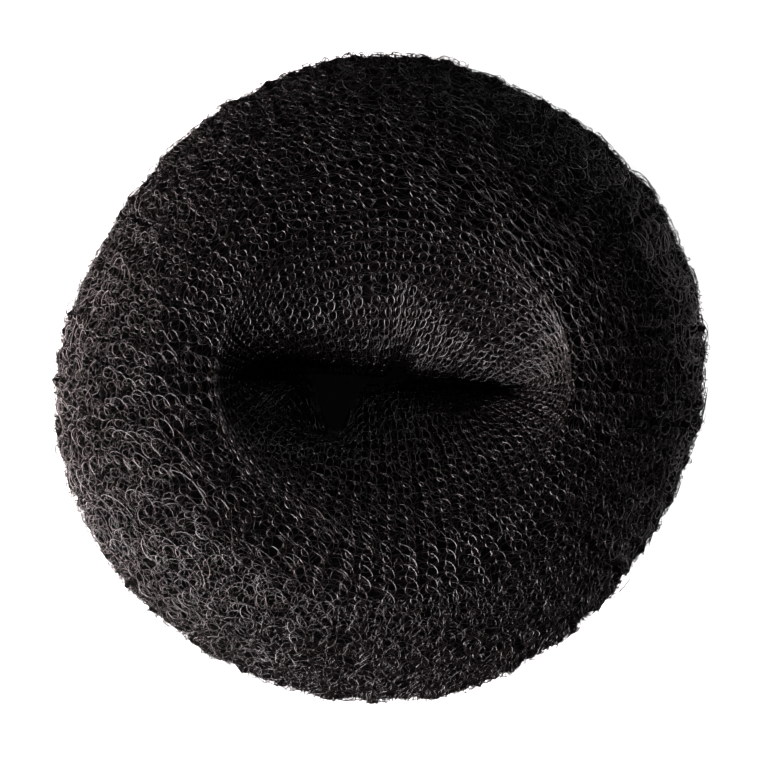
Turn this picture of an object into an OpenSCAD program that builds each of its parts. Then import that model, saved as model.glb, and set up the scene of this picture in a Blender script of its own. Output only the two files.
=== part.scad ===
// Hair donut bun maker: a ring of black nylon net, knitted as a long tube and rolled up on itself.
// It lies flat on its underside, and its middle hole is pinched into a long mouth with one open
// passage left in it for the hair.
// Origin: on the table, under the middle of the outline. +Z is up along the ring's axis, +X runs
// along the mouth. Millimetres. Azimuth is counted from +X towards +Y. The section angle is 0 at
// the rim, 90 at the crown, 180 in the mouth and 270 on the underside.

/* [Donut] */
// Width across the whole donut
donut_w = 100; // [80:1:130]
// Height from the table to the crown
donut_h = 44; // [36:1:56]
// How far the round underside is pressed flat on the table, as a share of the height
base_press = 0.018; // [0.016:0.001:0.03]

/* [Knitted turns] */
// Thickness of the outermost knitted turn
turn_t = 2; // [1.4:0.1:2.6]
// Gap between the outermost turn and the roll inside it
turn_gap = 0.5; // [0.4:0.1:0.8]

/* [Crown ring] */
// Length of the crown ring along the mouth
crown_len = 51.6; // [48:0.2:56]
// Width of the crown ring across the mouth
crown_w = 47.2; // [42:0.2:52]
// Offset of the crown ring's middle along the mouth
crown_x = 1.8; // [0:0.1:3]
// Offset of the crown ring's middle across the mouth
crown_y = 0.3; // [-1:0.1:1]
// Drop of the crown ring where the mouth's two ends run out over it
crown_dip = 1.1; // [0:0.1:3]

/* [Mouth] */
// Length of the mouth at mid height
mouth_len = 35; // [30:0.5:40]
// Gap between the two lips at mid height
mouth_gap = 1.8; // [1.4:0.1:3]
// Extra share of that gap at the left end, and missing share at the right end
mouth_skew = 0.45; // [0:0.05:0.5]
// Offset of the mouth's middle along it
mouth_x = 0.3; // [-1:0.1:1]
// Offset of the mouth's middle across it
mouth_y = -0.2; // [-1:0.1:1]
// Turn of the mouth about the vertical axis, in degrees
mouth_turn = -4.3; // [-8:0.1:8]
// How fast the lips close on the way down, against an even round section
lip_close = 1.12; // [1:0.02:1.3]
// How late the mouth's ends close on the way down
end_late = 1.5; // [1:0.1:2]
// Sharpness of the turn from the crown into the mouth
lip_drop = 1.12; // [1:0.02:1.3]

/* [Open passage] */
// Azimuth of the open passage in the lower lip
passage_az = 234; // [225:1:255]
// Half width of the passage, in degrees of the knit
passage_half = 20; // [16:0.5:22]
// Depth of the passage into the lower lip
passage_in = 8.6; // [7:0.1:10]
// Knit gathered into the passage, in mm a degree
passage_gather = 0.1; // [0.05:0.01:0.12]

/* [Folds] */
// Depth of the crease in the upper lip
crease_in = 1.6; // [0:0.1:2]
// Swell of the lower lip on the left of the passage
left_swell = 0.9; // [0:0.1:1.2]
// Swell of the lower lip on the right of the passage
right_swell = 1.1; // [0:0.1:1.4]

/* [Facets] */
// Facets around the donut
facets_round = 80; // [60:4:88]
// Facets around the section of the outer face
facets_section = 28; // [28:4:32]
// Facets around the section of the hidden faces
facets_hidden = 20; // [16:4:24]

/* [Output] */
// Piece to draw

/* [Hidden] */

// Outline seen from above. Columns: [azimuth, radius as a share of half the width]
outline = [
  [0, 1.000],
  [30, 1.015],
  [60, 0.994],
  [90, 1.003],
  [120, 0.972],
  [150, 0.951],
  [180, 1.003],
  [210, 1.012],
  [240, 0.994],
  [270, 0.991],
  [300, 0.979],
  [330, 0.966]
];

// Folds of the lips. Columns: [azimuth, half width in degrees, depth in mm with minus for a swell,
// knit gathered in mm a degree, share left at mid height]
folds = [
  [passage_az, passage_half, passage_in, passage_gather, 1],
  [80, 8, crease_in, 0, 1],
  [203, 14, -left_swell, 0, 0],
  [292, 22, -right_swell, 0, 0]
];

// The folds start at this share of the way from the crown down to mid height
fold_from = 0.3;
// and have their full depth at this one
fold_full = 0.8;
// Sharpness of a fold's edges: 2 is a soft bell
fold_edge = 3.2;
// How much wider a fold is on a hidden face, in degrees a mm of inset
fold_widen = 3.2;
// How much deeper it is there, in mm a mm of inset
fold_deepen = 0.4;
// How far beyond a fold's half width the knit is gathered
gather_spread = 1.5;
// How soon a fold reaches its full depth on the way in from the mouth's ends
fold_rise = 3;
// Share of the knit's columns that is spaced evenly along the closed mouth
even_share = 0.85;
// How much rounder the mouth's ends are on a hidden face, a mm of inset
end_round = 0.9;
// Share of the way down where the even spacing is complete
even_full = 0.8;
// Stretches of the way down over which the mouth turns
turn_from = 0.2;
turn_full = 0.9;

inset_hollow = turn_t;
inset_core = turn_t + turn_gap;
step = 360 / len(outline);
round_angles = [for (i = [0 : facets_round - 1]) 360 * i / facets_round];
rim = [for (a = round_angles) donut_w / 2 * outline_share(a) * [cos(a), sin(a)]];
middle = [for (k = [0, 1]) (max([for (p = rim) p[k]]) + min([for (p = rim) p[k]])) / 2];

// Smooth curve through four neighbouring values
function through(a, b, c, d, t) =
  (2 * b + (c - a) * t + (2 * a - 5 * b + 4 * c - d) * t * t + (3 * b - a - 3 * c + d) * t * t * t) / 2;

// Soft step from 0 at a to 1 at b
function ease(x, a, b) =
  let (t = min(1, max(0, (x - a) / (b - a))))
  t * t * (3 - 2 * t);

// Signed angle from one azimuth to another
function turned(az, from) =
  let (d = (az - from + 540) % 360)
  d - 180;

function outline_share(az) =
  let (
    n = len(outline),
    i = floor(az / step),
    t = az / step - i
  )
  through(
    outline[(i + n - 1) % n][1],
    outline[i % n][1],
    outline[(i + 1) % n][1],
    outline[(i + 2) % n][1],
    t
  );

// Ring of the crown and of the foot, seen from above
function crown(az) = [crown_x + crown_len / 2 * cos(az), crown_y + crown_w / 2 * sin(az)];

// How far one fold pushes the lip back at this azimuth
function fold_push(f, az, inset) =
  let (
    deep = f[2] > 0,
    half = f[1] + (deep ? fold_widen * inset : 0),
    push = f[2] + (deep ? fold_deepen * inset : 0)
  )
  push * exp(-pow(abs(turned(az, f[0])) / half, fold_edge));

// How far the knit's columns are drawn together along the lip by one fold
function fold_gather(f, az) =
  let (d = turned(az, f[0]))
  f[3] * d * exp(-pow(d / (gather_spread * f[1]), 2));

// Share of a fold's depth that is there at this share of the way down
function fold_there(f, down) =
  ease(down, fold_from, fold_full) - (1 - f[4]) * ease(down, fold_full, 1);

// Outer half of the section: from the crown or foot ring out to the rim
function out_xy(az, out, inset) =
  let (
    rim_r = donut_w / 2 * outline_share(az) - inset,
    c = crown(az)
  )
  c + (rim_r * [cos(az), sin(az)] - c) * out;

// Inner half: the ring closes into the mouth on the way down
function lip_xy(az, down, inset) =
  let (
    side = sign(sin(az)),
    shut_x = pow(sin(90 * down), end_late),
    shut_y = sin(90 * min(1, down * lip_close)),
    even = even_share * ease(down, 0, even_full),
    along = 1 - abs(turned(az, 0)) / 90,
    lip = mouth_gap / 2 * (1 - mouth_skew * cos(az)) + inset,
    half_x = crown_len / 2 + (mouth_len / 2 + inset - crown_len / 2) * shut_x,
    half_y = crown_w / 2 + (lip - crown_w / 2) * shut_y,
    blunt = 1 - even / even_share * (1 - 1 / (1 + end_round * inset)),
    push = [for (f = folds) fold_push(f, az, inset) * fold_there(f, down)],
    gather = [for (f = folds) fold_gather(f, az) * ease(down, fold_from, fold_full)],
    total_push = push * [for (f = folds) 1],
    total_gather = gather * [for (f = folds) 1],
    x = crown_x + (mouth_x - crown_x) * shut_x
      + half_x * ((1 - even) * cos(az) + even * along)
      + side * total_gather,
    y = crown_y + (mouth_y - crown_y) * shut_y
      + half_y * side * pow(abs(sin(az)), blunt)
      + side * total_push * min(1, fold_rise * abs(sin(az)))
  )
  [x, y + tan(mouth_turn) * x * ease(down, turn_from, turn_full)];

function height_at(az, sec, inset) =
  let (
    half = donut_h / 2 - inset,
    lift = pow(abs(sin(sec)), cos(sec) < 0 ? lip_drop : 1),
    top = half - crown_dip * pow(cos(az), 2) * half * 2 / donut_h
  )
  max(inset, donut_h / 2 + (sin(sec) > 0 ? top * lift : -(half + base_press * donut_h) * lift));

// Point of a face that lies this far under the outer face
function face_point(az, sec, inset) =
  let (xy = cos(sec) < 0 ? lip_xy(az, 1 - abs(sec - 180) / 90, inset) : out_xy(az, cos(sec), inset))
  [xy[0] - middle[0], xy[1] - middle[1], height_at(az, sec, inset)];

// Closed ring-shaped solid inside one face
module ring_solid(inset, around_section) {
  points = [
    for (az = round_angles)
      for (j = [0 : around_section - 1])
        face_point(az, 360 * j / around_section, inset)
  ];
  faces = [
    for (i = [0 : facets_round - 1])
      for (j = [0 : around_section - 1])
        let (
          i2 = (i + 1) % facets_round,
          j2 = (j + 1) % around_section,
          a = i * around_section + j,
          b = i2 * around_section + j,
          c = i2 * around_section + j2,
          d = i * around_section + j2
        )
        each [[a, c, b], [a, d, c]]
  ];
  polyhedron(points, faces, convexity = 8);
}

// Outermost knitted turn: a thin wall all around, closed on itself, with the roll inside it
module outer_turn() {
  color([0.06, 0.055, 0.055])
    difference() {
      ring_solid(0, facets_section);
      ring_solid(inset_hollow, facets_hidden);
    }
}

// Inner turns of the same tube, pressed together into one soft roll
module rolled_core() {
  color([0.03, 0.03, 0.03])
    ring_solid(inset_core, facets_hidden);
}

outer_turn();
rolled_core();
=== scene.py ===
import math

import bmesh
import bpy
import numpy as np
from mathutils import Matrix, Vector


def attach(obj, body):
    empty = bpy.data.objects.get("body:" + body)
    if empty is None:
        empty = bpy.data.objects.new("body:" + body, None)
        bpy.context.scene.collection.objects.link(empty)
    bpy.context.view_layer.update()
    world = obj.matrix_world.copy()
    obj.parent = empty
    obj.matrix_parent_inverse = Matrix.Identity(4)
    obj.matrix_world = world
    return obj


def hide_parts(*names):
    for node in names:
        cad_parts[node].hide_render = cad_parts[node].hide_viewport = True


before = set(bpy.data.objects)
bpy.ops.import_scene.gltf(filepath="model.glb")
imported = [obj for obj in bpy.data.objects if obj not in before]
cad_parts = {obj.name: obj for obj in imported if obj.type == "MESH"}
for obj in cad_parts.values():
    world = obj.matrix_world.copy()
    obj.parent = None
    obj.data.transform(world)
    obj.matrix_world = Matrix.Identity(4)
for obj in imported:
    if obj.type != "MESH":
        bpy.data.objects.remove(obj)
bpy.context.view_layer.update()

# The rolled core: the inner turns of one long tube of black nylon net, rolled up on themselves
# like a sock until they make a thick soft ring, 100 mm across, 44 mm high and pinched shut in the
# middle. The same form carries every turn of net that lies over it. All sizes are in metres.
donut_width, donut_height = 0.100, 0.044
crown_length, crown_width = 0.0516, 0.0472
crown_x, crown_y, crown_dip = 0.0018, 0.0003, 0.0011
mouth_length, mouth_gap, mouth_skew = 0.035, 0.0018, 0.45
mouth_x, mouth_y, mouth_turn = 0.0003, -0.0002, math.radians(-4.3)
mouth_straight = 0.85  # share of a straight slit in the mouth's outline
lip_close, lip_drop, end_late = 1.12, 1.12, 1.5
lip_blunt = 900  # how fast the ends of the slit grow blunt with depth
pressed_flat = 0.018  # share of the height that the underside is pressed flat
outline_step = 30
outline_shares = [1.000, 1.015, 0.994, 1.003, 0.972, 0.951, 1.003, 1.012, 0.994, 0.991, 0.979, 0.966]
# azimuth and half width in degrees; depth, minus for a swell; knit gathered for each degree;
# share kept at mid height
lip_folds = [
    (234, 20, 0.0086, 0.0001, 1),
    (80, 8, 0.0016, 0, 1),
    (203, 14, -0.0009, 0, 0),
    (292, 22, -0.0011, 0, 0),
]
fold_edge, fold_side = 3.2, 3  # how square a fold's edges are, and how fast it grows off the slit's ends
fold_widens, fold_deepens = 3200, 0.4  # what a fold gains with depth under the outer face
gather_reach = 1.5  # half widths of a fold that the gathered knit reaches
# shares of the way down the mouth: where the outline turns from the crown's ring into the slit,
# where the folds come in, where some of them fade again, and where the slit turns
slit_comes, fold_comes, fold_fades, turn_comes = (0, 0.8), (0.3, 0.8), (0.8, 1), (0.2, 0.9)


def ease(x, low, high):
    """A smooth rise from 0 at low to 1 at high."""
    t = np.clip((x - low) / (high - low), 0, 1)
    return t * t * (3 - 2 * t)


def turned(azimuth, start):
    """Degrees from start to azimuth, the short way round."""
    return (azimuth - start + 180) % 360 - 180


def outline_share(azimuth):
    """The outline's radius as a share of half the width, on a smooth curve through its values."""
    shares = np.array(outline_shares)
    at = np.asarray(azimuth) % 360 / outline_step
    i = np.floor(at).astype(int)
    t = at - i
    a, b, c, d = (shares[(i + k) % len(shares)] for k in (-1, 0, 1, 2))
    bend = (2 * a - 5 * b + 4 * c - d) * t ** 2 + (3 * b - a - 3 * c + d) * t ** 3
    return (2 * b + (c - a) * t + bend) / 2


round_step = 4.5
all_round = np.arange(0, 360, round_step)
toward = np.array([np.cos(np.radians(all_round)), np.sin(np.radians(all_round))])
rim_points = donut_width / 2 * outline_share(all_round) * toward
outline_middle = (rim_points.max(1) + rim_points.min(1)) / 2


def ring_surface(azimuth, section, depth):
    """Points of the form, this deep under its face. Section 0 is the rim, 90 the crown, 180 the mouth."""
    azimuth, section, depth = np.broadcast_arrays(
        np.asarray(azimuth, float) % 360, np.asarray(section, float) % 360, depth
    )
    c, s = np.cos(np.radians(azimuth)), np.sin(np.radians(azimuth))
    out, up = np.cos(np.radians(section)), np.sin(np.radians(section))
    rim = donut_width / 2 * outline_share(azimuth) - depth
    ring_x, ring_y = crown_x + crown_length / 2 * c, crown_y + crown_width / 2 * s
    down = np.where(out < 0, 1 - np.abs(section - 180) / 90, 0)
    shut_x = np.sin(np.pi / 2 * down) ** end_late
    shut_y = np.sin(np.pi / 2 * np.minimum(1, down * lip_close))
    straight = mouth_straight * ease(down, *slit_comes)
    along = 1 - np.abs(turned(azimuth, 0)) / 90
    lip = mouth_gap / 2 * (1 - mouth_skew * c) + depth
    half_x = crown_length / 2 + (mouth_length / 2 + depth - crown_length / 2) * shut_x
    half_y = crown_width / 2 + (lip - crown_width / 2) * shut_y
    blunt = 1 - ease(down, *slit_comes) * (1 - 1 / (1 + lip_blunt * np.maximum(depth, 0)))
    x = crown_x + (mouth_x - crown_x) * shut_x + half_x * ((1 - straight) * c + straight * along)
    y = crown_y + (mouth_y - crown_y) * shut_y + half_y * np.sign(s) * np.abs(s) ** blunt
    folded = ease(down, *fold_comes)
    for at, half, push, gather, kept in lip_folds:
        wider, deeper = (fold_widens * depth, fold_deepens * depth) if push > 0 else (0, 0)
        off = turned(azimuth, at)
        bell = np.exp(-(np.abs(off) / (half + wider)) ** fold_edge)
        there = folded - (1 - kept) * ease(down, *fold_fades)
        y = y + np.sign(s) * (push + deeper) * bell * there * np.minimum(1, fold_side * np.abs(s))
        x = x + np.sign(s) * gather * off * np.exp(-(off / (gather_reach * half)) ** 2) * folded
    y = y + math.tan(mouth_turn) * x * ease(down, *turn_comes)
    x = np.where(out < 0, x, ring_x + (rim * c - ring_x) * out)
    y = np.where(out < 0, y, ring_y + (rim * s - ring_y) * out)
    half_height = donut_height / 2 - depth
    lift = np.abs(up) ** np.where(out < 0, lip_drop, 1)
    top = half_height * (1 - crown_dip * c ** 2 / (donut_height / 2))
    under = half_height + pressed_flat * donut_height
    z = donut_height / 2 + np.where(up > 0, top * lift, -under * lift)
    return np.stack([x - outline_middle[0], y - outline_middle[1], np.maximum(z, depth)], -1)


def ring_mesh(name, points):
    """A closed ring of four-cornered faces with a map that counts along the knit."""
    rows, columns = points.shape[:2]
    i, j = np.meshgrid(np.arange(rows), np.arange(columns), indexing="ij")
    i2, j2 = (i + 1) % rows, (j + 1) % columns
    corners = [i * columns + j, i2 * columns + j, i2 * columns + j2, i * columns + j2]
    mesh = bpy.data.meshes.new(name)
    mesh.from_pydata(points.reshape(-1, 3).tolist(), [], np.stack(corners, -1).reshape(-1, 4).tolist())
    knit_map = mesh.uv_layers.new(name="knit_map")
    u, v = np.stack([i, i + 1, i + 1, i], -1) / rows, np.stack([j, j, j + 1, j + 1], -1) / columns
    knit_map.uv.foreach_set("vector", np.stack([u, v], -1).ravel().astype(np.float32))
    mesh.polygons.foreach_set("use_smooth", [True] * len(mesh.polygons))
    mesh.update()
    return mesh


# section angle, and how deep under the outer face the net is pressed together there
pressed_depths = [(0, 0.0001), (35, 0.0013), (80, 0.0008), (290, 0.0006), (360, 0.0001)]
# The knit bunches up along the rim. Minus is a bump outwards, plus a dent.
bump_count, bump_grain, bump_seed = 240, 0.4, 7
bump_comes = 0.5, 0.9  # cosine of the section angle
bump_dice = np.random.default_rng(bump_seed)
bump_heights = bump_dice.uniform(-1, 1, bump_count)
bump_azimuths = np.arange(bump_count) * 360 / bump_count


def rim_bump(azimuth, section):
    """The rim's bump at this place, from -1 to 1."""
    at_rim = ease(np.cos(np.radians(section)), *bump_comes)
    return at_rim * np.interp(azimuth, bump_azimuths, bump_heights, period=360)


def pad_face(name, deeper, around, along, bumps=0.0):
    """The pressed net's form in this many steps around and along its section."""
    azimuths, sections = np.arange(around) * 360 / around, np.arange(along) * 360 / along
    depth = deeper + np.interp(sections, *np.transpose(pressed_depths))
    bump = rim_bump(azimuths[:, None], sections[None, :])
    bump = bump * (1 + bump_grain * bump_dice.uniform(-1, 1, bump.shape))
    return ring_mesh(name, ring_surface(azimuths[:, None], sections[None, :], depth + bumps * bump))


def shader_node(tree, kind, settings=(), links=()):
    """A node in a tree, with its settings and what goes into its sockets."""
    node = tree.nodes.new(kind)
    for key, value in dict(settings).items():
        setattr(node, key, value)
    for key, source in dict(links).items():
        if isinstance(source, bpy.types.NodeSocket):
            tree.links.new(source, node.inputs[key])
        else:
            node.inputs[key].default_value = source
    return node


def mixed_colour(tree, share, dark, light):
    """A colour between dark and light."""
    mix = shader_node(tree, "ShaderNodeMix", {"data_type": "RGBA"}, {0: share})
    mix.inputs[6].default_value, mix.inputs[7].default_value = (*dark, 1), (*light, 1)
    return mix.outputs[2]


def pressed_net_painted_shade(name, cells_a_metre):
    """Near black as painted shade for the depths of the layered net, with the dim curls of deeper threads:
    rings around the cells of two random patterns.
    """
    curl_radius, curl_line = 0.3, 0.06  # in cells
    # black is painted shade, far darker than the nylon's own tone, for the depths of the layered net;
    # curl_grey is near the nylon's own tone
    black, curl_grey, rough = (0.0008, 0.0008, 0.0008), (0.004, 0.0033, 0.0031), 0.9
    material = bpy.data.materials.new(name)
    material.use_nodes = True
    tree = material.node_tree
    shader = tree.nodes["Principled BSDF"]
    where = shader_node(tree, "ShaderNodeTexCoord").outputs["Object"]
    curls = []
    for cells in cells_a_metre:
        cell = shader_node(tree, "ShaderNodeTexVoronoi", {}, {"Vector": where, "Scale": cells})
        peak = shader_node(tree, "ShaderNodeMath", {"operation": "PINGPONG"}, {
            0: cell.outputs["Distance"], 1: curl_radius}).outputs[0]
        curls.append(shader_node(tree, "ShaderNodeMapRange", {}, {
            "Value": peak, "From Min": curl_radius - curl_line, "From Max": curl_radius}).outputs[0])
    seen = shader_node(tree, "ShaderNodeMath", {"operation": "MAXIMUM"}, dict(enumerate(curls))).outputs[0]
    tree.links.new(mixed_colour(tree, seen, black, curl_grey), shader.inputs["Base Color"])
    shader.inputs["Roughness"].default_value = rough
    shader.inputs["Specular IOR Level"].default_value = 0.0
    return material


def pad_piece(name, mesh, material, node):
    """A padded piece that stands for a CAD node."""
    mesh.materials.append(material)
    piece = bpy.data.objects.new(name, mesh)
    bpy.context.collection.objects.link(piece)
    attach(piece, "root")
    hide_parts(node)


core_depth = 0.0019
# The core pad is coloured near black as painted shade for the depths of the rolled net.
pad_piece("rolled_core_pad", pad_face("rolled_core_pad", core_depth, around=96, along=40),
          pressed_net_painted_shade("rolled_net", cells_a_metre=(420, 560)), "rolled_core")

# The outer turn's wall: the same net with its threads pressed together, a soft sleeve a little over
# a millimetre thick all round the core, open in the middle where the ponytail goes through. Its rim
# is uneven, because the knit bunches up there.
wall_thick, wall_bumps = 0.0013, 0.0005
wall_mesh = pad_face("pressed_wall", deeper=0, around=240, along=60, bumps=wall_bumps)
wall_inside = pad_face("pressed_wall_inside", wall_thick, around=96, along=40)
wall_inside.flip_normals()
both_faces = bmesh.new()
both_faces.from_mesh(wall_mesh)
both_faces.from_mesh(wall_inside)
both_faces.to_mesh(wall_mesh)
both_faces.free()
# The wall is coloured near black as painted shade for the depths of the pressed net.
pad_piece("pressed_wall", wall_mesh, pressed_net_painted_shade("pressed_net", cells_a_metre=(480, 660)),
          "outer_turn")

# The third turn of net, the deepest that shows: black nylon monofilament, plain knitted in rounds
# that run the long way round the ring. Columns of stitches cross them, 60 in the outer net, from the
# rim over the crown into the mouth and back underneath. This turn is crushed into a fine tangle.
knit_columns = 60
# section angle; degrees that a course takes there; slack; a curl's half width in columns and half
# height in courses; degrees that it lies back from the face
knit_by_section = [
    (0, 4.4, 0.80, 0.42, 0.68, 60),
    (45, 3.9, 0.75, 0.44, 0.70, 15),
    (75, 3.6, 0.45, 0.48, 0.72, 0),
    (100, 3.4, 0.22, 0.50, 0.72, 0),
    (140, 5.2, 0.30, 0.50, 0.65, -20),
    (180, 5.6, 0.50, 0.50, 0.60, -50),
    (225, 6.0, 0.30, 0.48, 0.65, 0),
    (300, 5.4, 0.50, 0.46, 0.75, 0),
    (340, 4.7, 0.80, 0.42, 0.70, 30),
    (360, 4.4, 0.80, 0.42, 0.68, 60),
]
at_section, course_step, *knit_state = np.array(knit_by_section, float).T
mark_step = 0.25
section_marks = np.arange(0, 360 + mark_step, mark_step)
step_there = np.interp(section_marks[:-1] + mark_step / 2, at_section, course_step)
course_at = np.concatenate([[0], np.cumsum(mark_step / step_there)])
knit_courses = round(course_at[-1])
course_at *= knit_courses / course_at[-1]
column_lean = 11  # degrees; on the right of the upper slope the columns lean towards the throat
lean_comes, lean_goes = (90, 130), (180, 260)  # section angles
net_bump = 0.0004  # how high the rim's bumps are in the net
crown_comes = 0.6, 1  # sine of the section angle
crown_widens, crown_flattens = 0.04, 0.1  # curls on the crown's far side
guide_steps, guide_spare = 4, 2  # steps to a column and to a course; courses past a band's ends


def section_of(course):
    """The section angle where a course lies."""
    return np.interp(course % knit_courses, course_at, section_marks) + course // knit_courses * 360


def column_azimuth(azimuth, section):
    """Where a column that starts at this azimuth has got to."""
    quarter = np.sin(2 * np.radians(azimuth % 360)) * (azimuth % 360 < 90)
    on_slope = ease(section % 360, *lean_comes) * (1 - ease(section % 360, *lean_goes))
    return azimuth + column_lean * quarter * on_slope


def knit_guide(name, depth, first_course, last_course):
    """The form that a band of net follows, with what the net's tree has to know at each place on it."""
    columns = np.linspace(-1, knit_columns + 1, guide_steps * (knit_columns + 2) + 1)[:, None]
    course_marks = guide_steps * (last_course - first_course) + 1
    courses = np.linspace(first_course, last_course, course_marks)[None, :]

    def place(more_columns, more_courses, bump=0):
        section = section_of(courses + more_courses)
        azimuth = (columns + more_columns) * 360 / knit_columns
        return ring_surface(column_azimuth(azimuth, section), section, depth + bump)

    nudge, least_length = 0.2, 1e-12
    one_column = (place(nudge, 0) - place(-nudge, 0)) / (2 * nudge)
    one_course = (place(0, nudge) - place(0, -nudge)) / (2 * nudge)
    outward = np.cross(one_column, one_course)
    outward /= np.maximum(np.linalg.norm(outward, axis=-1, keepdims=True), least_length)
    slack, curl, height, lie_back = (
        np.interp(section_of(courses) % 360, at_section, state) for state in knit_state
    )
    on_crown = ease(np.sin(np.radians(section_of(courses))), *crown_comes)
    far_side = np.sin(columns * 2 * math.pi / knit_columns) * on_crown
    curl, height = curl + crown_widens * far_side, height - crown_flattens * far_side
    known = {
        "knit_place": (columns / knit_columns, courses / knit_courses, 0),
        "curl_shape": (curl, height, 0),
        "curl_stance": (slack + 0 * columns, np.radians(lie_back), 0),
    }
    known = {label: np.stack(np.broadcast_arrays(*values), -1) for label, values in known.items()}
    known.update(outward=outward, one_column=one_column, one_course=one_course)
    points = place(0, 0, net_bump * rim_bump(columns * 360 / knit_columns, section_of(courses)))
    rows, steps = points.shape[:2]
    i, j = np.meshgrid(np.arange(rows - 1), np.arange(steps - 1), indexing="ij")
    corners = [i * steps + j, (i + 1) * steps + j, (i + 1) * steps + j + 1, i * steps + j + 1]
    mesh = bpy.data.meshes.new(name)
    mesh.from_pydata(points.reshape(-1, 3).tolist(), [], np.stack(corners, -1).reshape(-1, 4).tolist())
    for label, values in known.items():
        attribute = mesh.attributes.new(label, "FLOAT_VECTOR", "POINT")
        attribute.data.foreach_set("vector", values.ravel().astype(np.float32))
    return mesh


net_tree = bpy.data.node_groups.new("plain_knit", "GeometryNodeTree")
sockets = {}
for label, kind, value in (
    ("Guide", "Geometry", None),
    ("Columns", "Int", knit_columns),
    ("Courses all round", "Int", knit_courses),
    ("First course", "Int", 0),
    ("Courses here", "Int", 10),
    ("Points a stitch", "Int", 14),
    ("Thread radius", "Float", 0.00006),
    ("Curl width", "Float", 1.0),
    ("Curl height", "Float", 1.0),
    ("Lie back", "Float", 1.0),
    ("Dive", "Float", 0.0006),
    ("Looseness", "Float", 1.0),
    ("Crumple", "Float", 1.0),
    ("Shift", "Float", 0.0),
    ("Seed", "Float", 1.0),
    ("Thread", "Material", None),
):
    made = net_tree.interface.new_socket(name=label, in_out="INPUT", socket_type="NodeSocket" + kind)
    if value is not None:
        made.default_value = value
    sockets[label] = made.identifier
net_tree.interface.new_socket(name="Net", in_out="OUTPUT", socket_type="NodeSocketGeometry")
asked = net_tree.nodes.new("NodeGroupInput").outputs


def step(kind, settings=(), links=()):
    """A node of the net's tree, as its first output."""
    return shader_node(net_tree, kind, settings, links).outputs[0]


def maths(operation, *terms):
    return step("ShaderNodeMath", {"operation": operation}, enumerate(terms))


def vectors(operation, *terms, **named):
    return step("ShaderNodeVectorMath", {"operation": operation}, {**dict(enumerate(terms)), **named})


def split(vector):
    return shader_node(net_tree, "ShaderNodeSeparateXYZ", {}, {0: vector}).outputs


def joined(*parts):
    return step("ShaderNodeCombineXYZ", {}, enumerate(parts))


# Every course is a ring of points. A point's number gives its course and how far it has turned
# round its stitch: 0 at the foot, where the thread runs back and closes a round curl, and half a
# turn at the head, in the wide arc between two curls.
curl_points = -0.35  # brings more of a stitch's points into its curl
points_round = maths("MULTIPLY", asked["Columns"], asked["Points a stitch"])
row_line = step("GeometryNodeMeshLine", {}, {"Count": asked["Courses here"]})
course_ring = step("GeometryNodeCurvePrimitiveCircle", {}, {"Resolution": points_round})
rings = step("GeometryNodeInstanceOnPoints", {}, {"Points": row_line, "Instance": course_ring})
threads = step("GeometryNodeRealizeInstances", {}, {"Geometry": rings})
number = step("GeometryNodeInputIndex")
course = maths("FLOOR", maths("DIVIDE", maths("ADD", number, 0.5), points_round))
point = maths("SUBTRACT", number, maths("MULTIPLY", course, points_round))
even_turn = maths("MULTIPLY", maths("DIVIDE", point, asked["Points a stitch"]), 2 * math.pi)
turn = maths("MULTIPLY_ADD", maths("SINE", even_turn), curl_points, even_turn)
course_here = maths("ADD", course, asked["First course"])
column_here = maths("ADD", maths("DIVIDE", turn, 2 * math.pi), asked["Shift"])
across_guide = maths("FRACT", maths("DIVIDE", column_here, asked["Columns"]))
where = joined(across_guide, maths("DIVIDE", course_here, asked["Courses all round"]))


def of_mesh(label):
    return step("GeometryNodeInputNamedAttribute", {"data_type": "FLOAT_VECTOR"}, {"Name": label})


def on_guide(value):
    """What the guide has at the thread's place."""
    return step("GeometryNodeSampleUVSurface", {"data_type": "FLOAT_VECTOR"}, {
        "Mesh": asked["Guide"], "Value": value, "UV Map": of_mesh("knit_place"), "Sample UV": where})


ground = on_guide(step("GeometryNodeInputPosition"))
known_labels = ("outward", "one_column", "one_course", "curl_shape", "curl_stance")
outward, one_column, one_course, curl_shape, curl_stance = (on_guide(of_mesh(s)) for s in known_labels)
curl_width, curl_height = split(curl_shape)[:2]
slack, lean_back = split(curl_stance)[:2]
loose = maths("MULTIPLY", slack, asked["Looseness"])
lie_back = maths("MULTIPLY", lean_back, asked["Lie back"])
# the noise behind the strays: its cells to a column and to a course, what brings its reach to one,
# and how far apart two seeds and two parts of a stitch lie in it
stray_cells, stray_step, stray_gain = 0.8, 0.3, 3.2
seed_apart, part_apart = 17.3, (1.0, 1.7, 3.1)


def stray(part, amount):
    """A soft random value for this part of the stitch, this large at full slack."""
    around = maths("DIVIDE", turn, asked["Columns"])
    cells = maths("MULTIPLY", asked["Crumple"], stray_cells * knit_columns / (2 * math.pi))
    row = maths("MULTIPLY", asked["Crumple"], stray_step)
    spot = joined(
        maths("MULTIPLY", maths("COSINE", around), cells),
        maths("MULTIPLY", maths("SINE", around), cells),
        maths("MULTIPLY_ADD", course_here, row, maths("MULTIPLY", asked["Seed"], seed_apart)),
    )
    spot = vectors("ADD", spot, tuple(part * apart for apart in part_apart))
    value = step("ShaderNodeTexNoise", {}, {"Vector": spot, "Scale": 1.0, "Detail": 0.0})
    return maths("MULTIPLY", maths("MULTIPLY", maths("SUBTRACT", value, 0.5), stray_gain * amount), loose)


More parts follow.
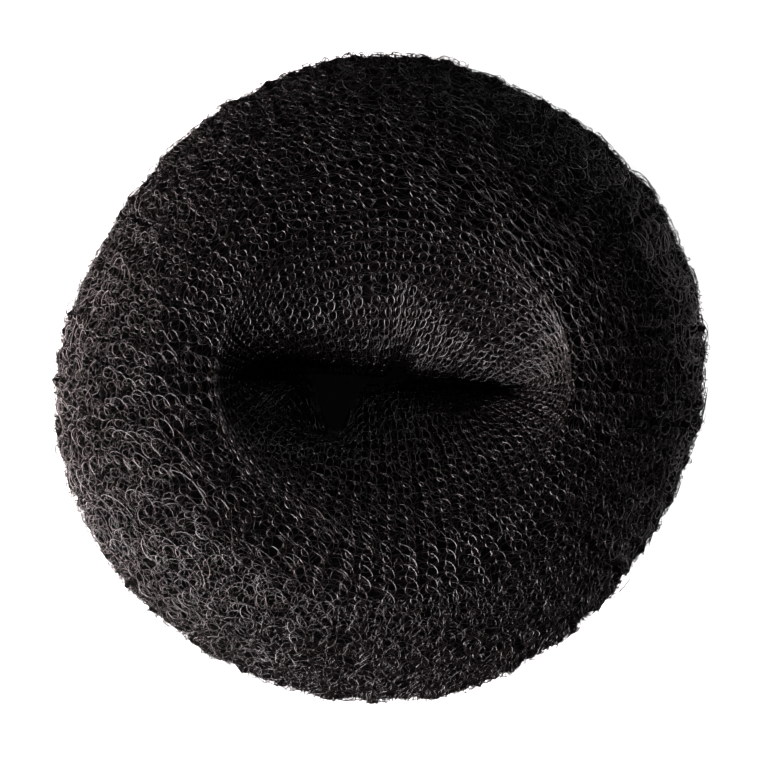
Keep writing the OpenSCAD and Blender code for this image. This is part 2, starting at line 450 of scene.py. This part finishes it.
# The stitch itself, in columns across, courses along and metres outwards.
size_stray, width_stray, sway_stray, climb_stray = (23, 0.28), (29, 0.25), (37, 0.6), (51, 0.6)
twist_stray, lean_stray, rise_stray = (41, 0.35), (67, 0.4), (83, 0.0004)
twist_to_side, twist_along = 0.4, -2.0  # what a twisted curl's height adds across, and its width along
size = maths("ADD", 1.0, stray(*size_stray))
asked_width = maths("MULTIPLY", curl_width, asked["Curl width"])
curl_across = maths("MULTIPLY", asked_width, maths("ADD", size, stray(*width_stray)))
curl_along = maths("MULTIPLY", maths("MULTIPLY", curl_height, asked["Curl height"]), size)
sway = maths("MULTIPLY", maths("MULTIPLY", curl_across, -1), maths("SINE", turn))
climb = maths("MULTIPLY", maths("MULTIPLY", curl_along, -1), maths("COSINE", turn))
twist = stray(*twist_stray)
sway_all = maths("ADD", sway, stray(*sway_stray))
sway_all = maths("ADD", sway_all, maths("MULTIPLY", twist, maths("MULTIPLY", climb, twist_to_side)))
sway_all = maths("DIVIDE", maths("MULTIPLY", sway_all, knit_columns), asked["Columns"])
climb_all = maths("ADD", climb, maths("MULTIPLY", twist, maths("MULTIPLY", sway, twist_along)))
lean = maths("SUBTRACT", stray(*lean_stray), lie_back)
course_square = shader_node(
    net_tree, "ShaderNodeVectorMath", {"operation": "DOT_PRODUCT"}, {0: one_course, 1: one_course})
course_length = maths("SQRT", course_square.outputs["Value"])
climb_out = maths("MULTIPLY", maths("MULTIPLY", climb_all, course_length), maths("SINE", lean))
climb_on = maths("ADD", maths("MULTIPLY", climb_all, maths("COSINE", lean)), stray(*climb_stray))
# The head dives under the net, a curl that lies back sinks in, and none stands further off the form
# than 0.4 mm or goes into the table.
dive_sharp, back_sink, furthest_out, least_height = 4.0, 0.0008, 0.0004, 0.0001
dive = maths("POWER", maths("MULTIPLY_ADD", maths("COSINE", turn), -0.5, 0.5), dive_sharp)
sink = maths("MULTIPLY", maths("MAXIMUM", lie_back, 0.0), back_sink)
sunk = maths("MULTIPLY_ADD", sink, asked["Curl height"], maths("MULTIPLY", asked["Dive"], dive))
rise = maths("SUBTRACT", maths("ADD", climb_out, stray(*rise_stray)), sunk)
rise = maths("SMOOTH_MIN", rise, furthest_out, furthest_out)
spot = vectors("ADD", vectors("ADD", ground, vectors("SCALE", one_column, Scale=sway_all)), vectors(
    "ADD", vectors("SCALE", one_course, Scale=climb_on), vectors("SCALE", outward, Scale=rise)))
spot_x, spot_y, spot_z = split(spot)
spot = joined(spot_x, spot_y, maths("MAXIMUM", spot_z, least_height))
laid = step("GeometryNodeSetPosition", {}, {"Geometry": threads, "Position": spot})
profile = step("GeometryNodeCurvePrimitiveCircle", {}, {"Resolution": 3, "Radius": asked["Thread radius"]})
tubes = step("GeometryNodeCurveToMesh", {}, {"Curve": laid, "Profile Curve": profile})
smooth = step("GeometryNodeSetShadeSmooth", {}, {"Geometry": tubes})
whole = step("GeometryNodeRealizeInstances", {}, {"Geometry": smooth})
dressed = step("GeometryNodeSetMaterial", {}, {"Geometry": whole, "Material": asked["Thread"]})
net_tree.links.new(dressed, net_tree.nodes.new("NodeGroupOutput").inputs[0])


def knit_band(name, depth, first, courses, **sizes):
    """One band of net, this deep, from its first course on, as a plain mesh on the outer turn."""
    guide_mesh = knit_guide(name + "_guide", depth, first - guide_spare, first + courses + guide_spare)
    guide = bpy.data.objects.new(name + "_guide", guide_mesh)
    bpy.context.collection.objects.link(guide)
    knit = guide.modifiers.new("plain_knit", "NODES")
    knit.node_group = net_tree
    knit[sockets["First course"]], knit[sockets["Courses here"]] = first, courses
    for label, value in sizes.items():
        knit[sockets[label.replace("_", " ")]] = value
    bpy.context.view_layer.update()
    solid = bpy.data.meshes.new_from_object(guide.evaluated_get(bpy.context.evaluated_depsgraph_get()))
    bpy.data.objects.remove(guide)
    bpy.data.meshes.remove(guide_mesh)
    solid.name = name
    band = bpy.data.objects.new(name, solid)
    bpy.context.collection.objects.link(band)
    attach(band, "root")
    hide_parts("outer_turn")


def thread_finish(name, colour, sheen):
    """Smooth black nylon whose tone and gloss change a little along the threads."""
    patches_a_metre, fineness, tones, rough_range = 600.0, 2.0, (0.4, 1.6), (0.12, 0.26)
    material = bpy.data.materials.new(name)
    material.use_nodes = True
    tree = material.node_tree
    shader = tree.nodes["Principled BSDF"]
    where = shader_node(tree, "ShaderNodeTexCoord").outputs["Object"]
    patchy = shader_node(tree, "ShaderNodeTexNoise", {}, {
        "Vector": where, "Scale": patches_a_metre, "Detail": fineness}).outputs[0]
    dark, light = ([tone * c for c in colour] for tone in tones)
    tree.links.new(mixed_colour(tree, patchy, dark, light), shader.inputs["Base Color"])
    rough = shader_node(tree, "ShaderNodeMapRange", {}, {
        "Value": patchy, "To Min": rough_range[0], "To Max": rough_range[1]}).outputs[0]
    tree.links.new(rough, shader.inputs["Roughness"])
    shader.inputs["Specular IOR Level"].default_value = sheen
    return material


# The deeper turns' thread is the outer net's nylon with painted shade: a darker tone and less gloss for
# lying under the outer turn.
shaded_deep_thread = thread_finish("shaded_deep_thread", colour=(0.005, 0.0038, 0.0036), sheen=0.33)
third_turn = dict(Seed=9.0, Crumple=3.2, Thread_radius=0.000045, Thread=shaded_deep_thread)
knit_band("third_turn_rim", depth=0.0005, first=-4, courses=22, Points_a_stitch=8, Columns=132,
          Shift=0.2, Looseness=1.5, Curl_width=1.2, Curl_height=0.85, Lie_back=0.4, Dive=0.0, **third_turn)
knit_band("third_turn_crown", depth=0.0006, first=18, courses=18, Points_a_stitch=12,
          Shift=0.25, Looseness=4.0, **third_turn)

# The second turn of net, under the outer one: the same knit, half a column aside, less crushed than
# the third. Its fine strokes, dulled by painted shade, fill the gaps between the outer curls.
second_turn = dict(Seed=5.0, Shift=0.5, Thread_radius=0.00005, Thread=shaded_deep_thread)
knit_band("second_turn_rim", depth=0.0002, first=-5, courses=23, Points_a_stitch=9, Columns=120,
          Looseness=1.2, Crumple=2.6, Curl_width=1.2, Curl_height=0.9, Lie_back=0.6, Dive=0.0,
          **second_turn)
knit_band("second_turn_crown", depth=0.0003, first=18, courses=22, Points_a_stitch=14,
          Looseness=2.6, Crumple=2.4, Dive=0.0002, **second_turn)

# The outer net: the turn that is seen and felt, of thread 0.12 mm thick. Over the crown it is drawn
# even, in chains of open eyes; out at the rim it hangs slack, and its loops stand off in round curls.
# Underneath, where it lies on the table, it is plainer.
outer_thread = thread_finish("outer_thread", colour=(0.006, 0.0044, 0.0042), sheen=0.5)
rim_first, crown_first, base_first = -6, 18, 40
knit_band("outer_net_rim", depth=0.0, first=rim_first, courses=crown_first - rim_first,
          Points_a_stitch=18, Looseness=1.2, Crumple=1.15, Thread=outer_thread)
knit_band("outer_net_crown", depth=0.0, first=crown_first, courses=base_first - crown_first,
          Points_a_stitch=20, Looseness=1.05, Thread=outer_thread)
knit_band("outer_net_base", depth=0.0, first=base_first, courses=knit_courses + rim_first - base_first,
          Points_a_stitch=8, Thread=outer_thread)

# The fringe: small tight curls of the same thread that bunch up along the rim, where the tube is
# stretched widest. They give the ring its fuzzy edge.
knit_band("rim_fringe", depth=0.0, first=-4, courses=8, Points_a_stitch=7, Columns=216, Seed=3.0,
          Looseness=1.5, Crumple=2.5, Curl_width=0.9, Curl_height=0.6, Lie_back=1.3, Dive=0.0,
          Thread=outer_thread)

# The studio, no part of the ring: a pale matt table top, large soft lamps mostly from the left, and
# a camera straight above.
table_half, table_drop = 3, -0.0002
table_tones, table_rough, mottles_a_metre = (0.945, 0.955), 0.9, 40.0
table_signs = ((-1, -1), (1, -1), (1, 1), (-1, 1))
table_corners = [(x * table_half, y * table_half, table_drop) for x, y in table_signs]
table_mesh = bpy.data.meshes.new("table_top")
table_mesh.from_pydata(table_corners, [], [(0, 1, 2, 3)])
table = bpy.data.objects.new("table_top", table_mesh)
bpy.context.collection.objects.link(table)
table_paint = bpy.data.materials.new("pale_table")
table_paint.use_nodes = True
paint_tree = table_paint.node_tree
paint = paint_tree.nodes["Principled BSDF"]
on_table = shader_node(paint_tree, "ShaderNodeTexCoord").outputs["Object"]
mottle = shader_node(paint_tree, "ShaderNodeTexNoise", {}, {
    "Vector": on_table, "Scale": mottles_a_metre}).outputs[0]
table_white = mixed_colour(paint_tree, mottle, *([tone] * 3 for tone in table_tones))
paint_tree.links.new(table_white, paint.inputs["Base Color"])
paint.inputs["Roughness"].default_value = table_rough
table_mesh.materials.append(table_paint)
table.visible_glossy = False

# A white wall stands all round, well away from the ring. Only the camera sees it.
wall_radius, wall_height, wall_sides = 1.3, 2.0, 64
round_wall = bmesh.new()
bmesh.ops.create_cone(round_wall, segments=wall_sides, radius1=wall_radius, radius2=wall_radius,
                      depth=wall_height, matrix=Matrix.Translation((0, 0, wall_height / 2)))
backdrop_mesh = bpy.data.meshes.new("round_wall")
round_wall.to_mesh(backdrop_mesh)
round_wall.free()
backdrop = bpy.data.objects.new("round_wall", backdrop_mesh)
bpy.context.collection.objects.link(backdrop)
wall_paint = bpy.data.materials.new("white_wall")
wall_paint.use_nodes = True
glowing = shader_node(wall_paint.node_tree, "ShaderNodeEmission", {}, {
    "Color": (1, 1, 1, 1), "Strength": 1.0})
wall_out = wall_paint.node_tree.nodes["Material Output"]
wall_paint.node_tree.links.new(glowing.outputs[0], wall_out.inputs["Surface"])
backdrop_mesh.materials.append(wall_paint)
for kind in ("diffuse", "glossy", "transmission", "shadow"):
    setattr(backdrop, "visible_" + kind, False)


ring_middle = Vector((0, 0, 0.02))


def lamp(name, place, size, power, colour=(1, 1, 1)):
    """A round soft lamp turned to the middle of the ring."""
    light = bpy.data.lights.new(name, "AREA")
    light.shape, light.size, light.energy, light.color = "DISK", size, power, colour
    made = bpy.data.objects.new(name, light)
    made.location = place
    made.rotation_euler = (ring_middle - Vector(place)).to_track_quat("-Z", "Y").to_euler()
    bpy.context.collection.objects.link(made)
    return made


lamp("key", (-1.15, -0.91, 0.57), size=1.0, power=134, colour=(1, 0.95, 0.96))
lamp("low_key", (-1.4, -0.5, 0.3), size=0.5, power=28, colour=(1, 0.76, 0.76))
lamp("back_fill", (0.5, 1.2, 0.9), size=0.8, power=9)
# The table is lit on its own until it is clean white. What it would throw up into the threads comes
# from two dim round glows that lie on it, warm at the left.
table_lamp_size, table_lamp_power, glow_size, world_strength = 0.8, 26, 0.2, 0.05
only_table = bpy.data.collections.new("only_table")
only_table.objects.link(table)
for name, place in (
    ("table_lamp_right", (1.2, 0.6, 1.4)),
    ("table_lamp_left", (-1.2, 0.6, 1.4)),
    ("table_lamp_front", (0.2, -1.3, 1.4)),
):
    table_lamp = lamp(name, place, table_lamp_size, table_lamp_power)
    table_lamp.light_linking.receiver_collection = only_table
for name, place, power, colour in (
    ("table_glow_left", (-0.165, -0.015, 0.001), 1.2, (1, 0.83, 0.83)),
    ("table_glow_right", (0.15, 0.01, 0.001), 0.17, (1, 0.93, 0.95)),
):
    glow = lamp(name, place, glow_size, power, colour)
    glow.rotation_euler = (math.pi, 0, 0)
    glow.visible_camera = False
world = bpy.data.worlds.new("studio")
world.use_nodes = True
world.node_tree.nodes["Background"].inputs["Color"].default_value = (1, 1, 1, 1)
world.node_tree.nodes["Background"].inputs["Strength"].default_value = world_strength
bpy.context.scene.world = world
bpy.context.scene.view_settings.view_transform = "Standard"

camera = bpy.data.objects.new("camera", bpy.data.cameras.new("camera"))
camera.data.lens, camera.data.sensor_width, camera.data.clip_start = 100, 36, 0.01
camera.location = (0.0, -0.0003, 0.3475)
bpy.context.collection.objects.link(camera)
bpy.context.scene.camera = camera
